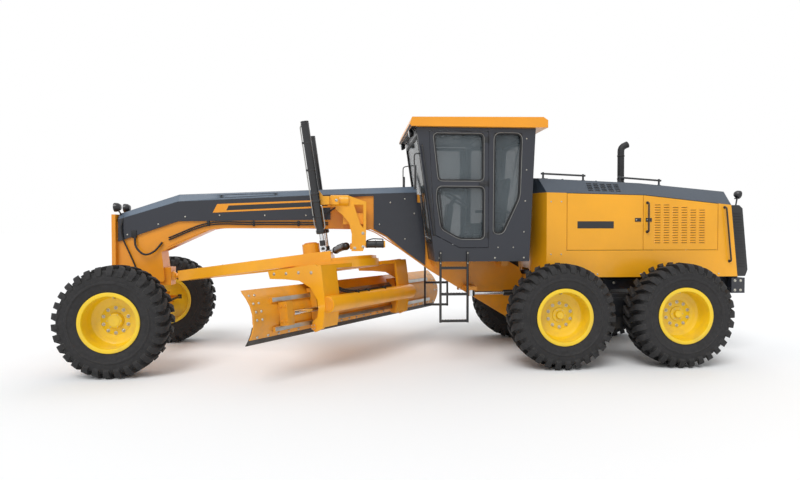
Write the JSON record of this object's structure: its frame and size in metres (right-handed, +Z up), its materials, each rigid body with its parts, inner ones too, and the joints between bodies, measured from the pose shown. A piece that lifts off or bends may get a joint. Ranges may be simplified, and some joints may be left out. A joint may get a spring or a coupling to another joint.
{
  "type": "motor grader",
  "caption": "Articulated motor grader with a rear engine, tandem drive wheels, a tall cab and a long boom that carries a turning mid-mounted blade.",
  "frame": {"origin": "on the ground, under the middle of the machine: halfway along its length, on its centre plane", "axes": "+X forward, towards the front wheels; +Y to the machine's left; +Z up"},
  "size_m": [8.86, 3.5981, 3.17],
  "materials": {
    "yellow_paint": "gloss",
    "orange_paint": "gloss",
    "dark_paint": "satin",
    "black_paint": "satin",
    "tyre_rubber": "matte",
    "glass": "gloss",
    "polished_steel": "polished",
    "dark_steel": "matte",
    "seat_trim": "matte"
  },
  "bodies": {
    "rear_chassis": {"engine_block": "dark_steel", "exhaust_stack": "dark_steel", "hood_lid": "dark_paint", "hood_walls": "yellow_paint", "radiator_grille": "black_paint", "rear_frame": "dark_paint", "tandem_drive": "black_paint"},
    "front_chassis": {"boom_cover": "dark_paint", "cab_body": "dark_paint", "cab_rear_glass": "glass", "cab_roof": "yellow_paint", "cab_step_left": "black_paint", "cab_step_right": "black_paint", "front_axle": "orange_paint", "front_frame": "orange_paint", "lift_saddle": "yellow_paint", "operator_seat": "seat_trim", "steering_console": "black_paint", "windscreen": "glass"},
    "cab_door_left_body": {"cab_door_left": "dark_paint", "door_glass_left": "glass"},
    "hood_door_left_front_body": {"hood_door_left_front": "yellow_paint"},
    "hood_door_left_rear_body": {"hood_door_left_rear": "yellow_paint"},
    "front_wheel_left": {"front_wheel_left_rim": "yellow_paint", "front_wheel_left_tyre": "tyre_rubber"},
    "mid_wheel_left": {"mid_wheel_left_rim": "yellow_paint", "mid_wheel_left_tyre": "tyre_rubber"},
    "rear_wheel_left": {"rear_wheel_left_rim": "yellow_paint", "rear_wheel_left_tyre": "tyre_rubber"},
    "lean_bracket_left_body": {"lean_bracket_left": "orange_paint"},
    "knuckle_left_body": {"knuckle_left": "orange_paint"},
    "lift_left_barrel_body": {"lift_left_barrel": "black_paint"},
    "lift_left_rod_body": {"lift_left_rod": "polished_steel"},
    "articulation_left_barrel_body": {"articulation_left_barrel": "black_paint"},
    "articulation_left_rod_body": {"articulation_left_rod": "polished_steel"},
    "cab_door_right_body": {"cab_door_right": "dark_paint", "door_glass_right": "glass"},
    "hood_door_right_front_body": {"hood_door_right_front": "yellow_paint"},
    "hood_door_right_rear_body": {"hood_door_right_rear": "yellow_paint"},
    "front_wheel_right": {"front_wheel_right_rim": "yellow_paint", "front_wheel_right_tyre": "tyre_rubber"},
    "mid_wheel_right": {"mid_wheel_right_rim": "yellow_paint", "mid_wheel_right_tyre": "tyre_rubber"},
    "rear_wheel_right": {"rear_wheel_right_rim": "yellow_paint", "rear_wheel_right_tyre": "tyre_rubber"},
    "lean_bracket_right_body": {"lean_bracket_right": "orange_paint"},
    "knuckle_right_body": {"knuckle_right": "orange_paint"},
    "lift_right_barrel_body": {"lift_right_barrel": "black_paint"},
    "lift_right_rod_body": {"lift_right_rod": "polished_steel"},
    "articulation_right_barrel_body": {"articulation_right_barrel": "black_paint"},
    "articulation_right_rod_body": {"articulation_right_rod": "polished_steel"},
    "lean_bar_body": {"lean_bar": "black_paint"},
    "tie_rod_body": {"tie_rod": "dark_steel"},
    "drawbar_body": {"drawbar": "yellow_paint"},
    "circle_body": {"circle": "yellow_paint"},
    "blade_carrier_body": {"blade_carrier": "yellow_paint"},
    "blade": {"cutting_edge": "dark_steel", "moldboard": "yellow_paint"},
    "centre_shift_barrel_body": {"centre_shift_barrel": "black_paint"},
    "centre_shift_rod_body": {"centre_shift_rod": "polished_steel"}
  },
  "joints": [
    {"name": "articulation", "type": "hinge", "parent": "rear_chassis", "child": "front_chassis", "pos_m": [-1.55, 0, 0.7], "axis": [0, 0, 1], "range_deg": [-22, 22]},
    {"name": "articulation_left_pivot", "type": "hinge", "parent": "rear_chassis", "child": "articulation_left_barrel_body", "pos_m": [-1.95, 0.41, 0.8725], "axis": [0, 0, 1], "range_deg": [-15.42, 15.42]},
    {"name": "articulation_left_slide", "type": "slide", "parent": "articulation_left_barrel_body", "child": "articulation_left_rod_body", "axis": [1, 0, 0], "range_m": [-0.157, 0.157]},
    {"name": "articulation_right_pivot", "type": "hinge", "parent": "rear_chassis", "child": "articulation_right_barrel_body", "pos_m": [-1.95, -0.41, 0.8725], "axis": [0, 0, 1], "range_deg": [-15.42, 15.42]},
    {"name": "articulation_right_slide", "type": "slide", "parent": "articulation_right_barrel_body", "child": "articulation_right_rod_body", "axis": [1, 0, 0], "range_m": [-0.157, 0.157]},
    {"name": "hood_door_left_front_hinge", "type": "hinge", "parent": "rear_chassis", "child": "hood_door_left_front_body", "pos_m": [-1.88, 0.62, 1.45], "axis": [0, 0, -1], "range_deg": [0, 80]},
    {"name": "hood_door_left_rear_hinge", "type": "hinge", "parent": "rear_chassis", "child": "hood_door_left_rear_body", "pos_m": [-3.98, 0.62, 1.45], "axis": [0, 0, 1], "range_deg": [0, 80]},
    {"name": "cab_door_left_hinge", "type": "hinge", "parent": "front_chassis", "child": "cab_door_left_body", "pos_m": [-0.77, 0.8, 1.5], "axis": [0, 0, 1], "range_deg": [0, 80]},
    {"name": "hood_door_right_front_hinge", "type": "hinge", "parent": "rear_chassis", "child": "hood_door_right_front_body", "pos_m": [-1.88, -0.62, 1.45], "axis": [0, 0, 1], "range_deg": [0, 80]},
    {"name": "hood_door_right_rear_hinge", "type": "hinge", "parent": "rear_chassis", "child": "hood_door_right_rear_body", "pos_m": [-3.98, -0.62, 1.45], "axis": [0, 0, -1], "range_deg": [0, 80]},
    {"name": "cab_door_right_hinge", "type": "hinge", "parent": "front_chassis", "child": "cab_door_right_body", "pos_m": [-0.77, -0.8, 1.5], "axis": [0, 0, -1], "range_deg": [0, 80]},
    {"name": "mid_wheel_left_spin", "type": "hinge", "parent": "rear_chassis", "child": "mid_wheel_left", "pos_m": [-1.625, 1.0775, 0.655], "axis": [0, 1, 0], "continuous": true},
    {"name": "rear_wheel_left_spin", "type": "hinge", "parent": "rear_chassis", "child": "rear_wheel_left", "pos_m": [-3.165, 1.0775, 0.655], "axis": [0, 1, 0], "continuous": true},
    {"name": "mid_wheel_right_spin", "type": "hinge", "parent": "rear_chassis", "child": "mid_wheel_right", "pos_m": [-1.625, -1.0775, 0.655], "axis": [0, 1, 0], "continuous": true},
    {"name": "rear_wheel_right_spin", "type": "hinge", "parent": "rear_chassis", "child": "rear_wheel_right", "pos_m": [-3.165, -1.0775, 0.655], "axis": [0, 1, 0], "continuous": true},
    {"name": "wheel_lean_left", "type": "hinge", "parent": "front_chassis", "child": "lean_bracket_left_body", "pos_m": [3.77, 0.62, 0.6], "axis": [1, 0, 0], "range_deg": [-17, 17]},
    {"name": "wheel_lean_right", "type": "hinge", "parent": "front_chassis", "child": "lean_bracket_right_body", "pos_m": [3.77, -0.62, 0.6], "axis": [1, 0, 0], "range_deg": [-17, 17]},
    {"name": "lean_bar_pivot", "type": "hinge", "parent": "lean_bracket_left_body", "child": "lean_bar_body", "pos_m": [3.77, 0.62, 0.85], "axis": [1, 0, 0], "range_deg": [-17.02, 17.02]},
    {"name": "steering_left", "type": "hinge", "parent": "lean_bracket_left_body", "child": "knuckle_left_body", "pos_m": [3.77, 0.83, 0.655], "axis": [0, 0, 1], "range_deg": [-45, 45]},
    {"name": "steering_right", "type": "hinge", "parent": "lean_bracket_right_body", "child": "knuckle_right_body", "pos_m": [3.77, -0.83, 0.655], "axis": [0, 0, 1], "range_deg": [-45, 45]},
    {"name": "tie_rod_slide", "type": "slide", "parent": "front_chassis", "child": "tie_rod_body", "axis": [0, 1, 0], "range_m": [-0.1242, 0.1242]},
    {"name": "front_wheel_left_spin", "type": "hinge", "parent": "knuckle_left_body", "child": "front_wheel_left", "pos_m": [3.77, 1.0775, 0.655], "axis": [0, 1, 0], "continuous": true},
    {"name": "front_wheel_right_spin", "type": "hinge", "parent": "knuckle_right_body", "child": "front_wheel_right", "pos_m": [3.77, -1.0775, 0.655], "axis": [0, 1, 0], "continuous": true},
    {"name": "drawbar_lift", "type": "hinge", "parent": "front_chassis", "child": "drawbar_body", "pos_m": [3.43, 0, 1.1], "axis": [0, 1, 0], "range_deg": [-20, 0]},
    {"name": "lift_left_pivot", "type": "hinge", "parent": "front_chassis", "child": "lift_left_barrel_body", "pos_m": [1.44, 0.62, 2.14], "axis": [0, 1, 0], "range_deg": [-3.11, 0]},
    {"name": "lift_left_slide", "type": "slide", "parent": "lift_left_barrel_body", "child": "lift_left_rod_body", "axis": [-0.1411, -0.0284, -0.9896], "range_m": [0, 0.7359]},
    {"name": "lift_right_pivot", "type": "hinge", "parent": "front_chassis", "child": "lift_right_barrel_body", "pos_m": [1.44, -0.62, 2.14], "axis": [0, 1, 0], "range_deg": [-4.41, 0]},
    {"name": "lift_right_slide", "type": "slide", "parent": "lift_right_barrel_body", "child": "lift_right_rod_body", "axis": [-0.1369, -0.0177, -0.9904], "range_m": [0, 0.7317]},
    {"name": "centre_shift_pivot", "type": "hinge", "parent": "front_chassis", "child": "centre_shift_barrel_body", "pos_m": [1.06, 0.2, 1.5], "axis": [0.9384, 0.3447, 0.0245], "range_deg": [0, 41.02]},
    {"name": "centre_shift_slide", "type": "slide", "parent": "centre_shift_barrel_body", "child": "centre_shift_rod_body", "axis": [0.3441, -0.9258, -0.1563], "range_m": [0, 0.352]},
    {"name": "circle_rotation", "type": "hinge", "parent": "drawbar_body", "child": "circle_body", "pos_m": [1.3, 0, 1.25], "axis": [0.111, -0.0906, 0.9897], "range_deg": [-6, 76]},
    {"name": "blade_pitch", "type": "hinge", "parent": "circle_body", "child": "blade_carrier_body", "pos_m": [0.85218, 0.32875, 0.55231], "axis": [0.5825, 0.8128, 0.0091], "range_deg": [-5, 40]},
    {"name": "blade_side_shift", "type": "slide", "parent": "blade_carrier_body", "child": "blade", "axis": [0.5825, 0.8128, 0.0091], "range_m": [-0.3, 0.65]}
  ],
  "couplings": [
    {"joint": "articulation_left_pivot", "follows": "articulation", "ratio": 0.70008},
    {"joint": "articulation_left_slide", "follows": "articulation", "m_per_rad": -0.40766},
    {"joint": "lift_left_pivot", "follows": "drawbar_lift", "ratio": 0.15468},
    {"joint": "lift_left_slide", "follows": "drawbar_lift", "m_per_rad": -2.1067},
    {"joint": "articulation_right_pivot", "follows": "articulation", "ratio": 0.70008},
    {"joint": "articulation_right_slide", "follows": "articulation", "m_per_rad": 0.40766},
    {"joint": "lift_right_pivot", "follows": "drawbar_lift", "ratio": 0.21969},
    {"joint": "lift_right_slide", "follows": "drawbar_lift", "m_per_rad": -2.0946},
    {"joint": "centre_shift_pivot", "follows": "drawbar_lift", "ratio": -2.05},
    {"joint": "centre_shift_slide", "follows": "drawbar_lift", "m_per_rad": -1.007},
    {"joint": "wheel_lean_right", "follows": "wheel_lean_left", "ratio": 1},
    {"joint": "steering_right", "follows": "steering_left", "ratio": 1},
    {"joint": "lean_bar_pivot", "follows": "wheel_lean_left", "ratio": -1},
    {"joint": "tie_rod_slide", "follows": "steering_left", "m_per_rad": -0.15756}
  ]
}
